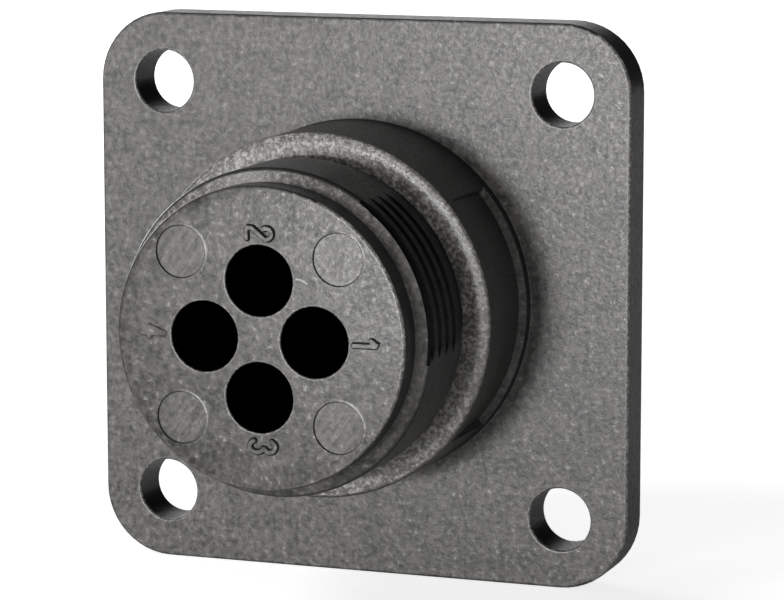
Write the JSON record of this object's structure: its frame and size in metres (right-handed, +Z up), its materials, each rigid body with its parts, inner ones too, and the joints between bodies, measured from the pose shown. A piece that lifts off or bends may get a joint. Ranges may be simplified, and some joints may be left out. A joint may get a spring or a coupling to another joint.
{
  "type": "circular connector",
  "caption": "Square-flange panel connector housing in dark moulded plastic: wire-side barrel with interrupted clamp thread and open contact cavities, keyed mating socket.",
  "frame": {"origin": "on the connector's axis, in the plane of the flange's wire-side face, at the centre of the fixing-hole pattern", "axes": "+Y along the axis towards the mating side and -Y towards the wire side, +Z up along one edge of the square flange, +X to the right when the wire side is looked at"},
  "size_m": [0.0274, 0.0257, 0.0274],
  "materials": {
    "housing": "fine-grained matte dark grey moulded thermoplastic"
  },
  "bodies": {
    "root": {"housing": "housing"}
  },
  "joints": []
}
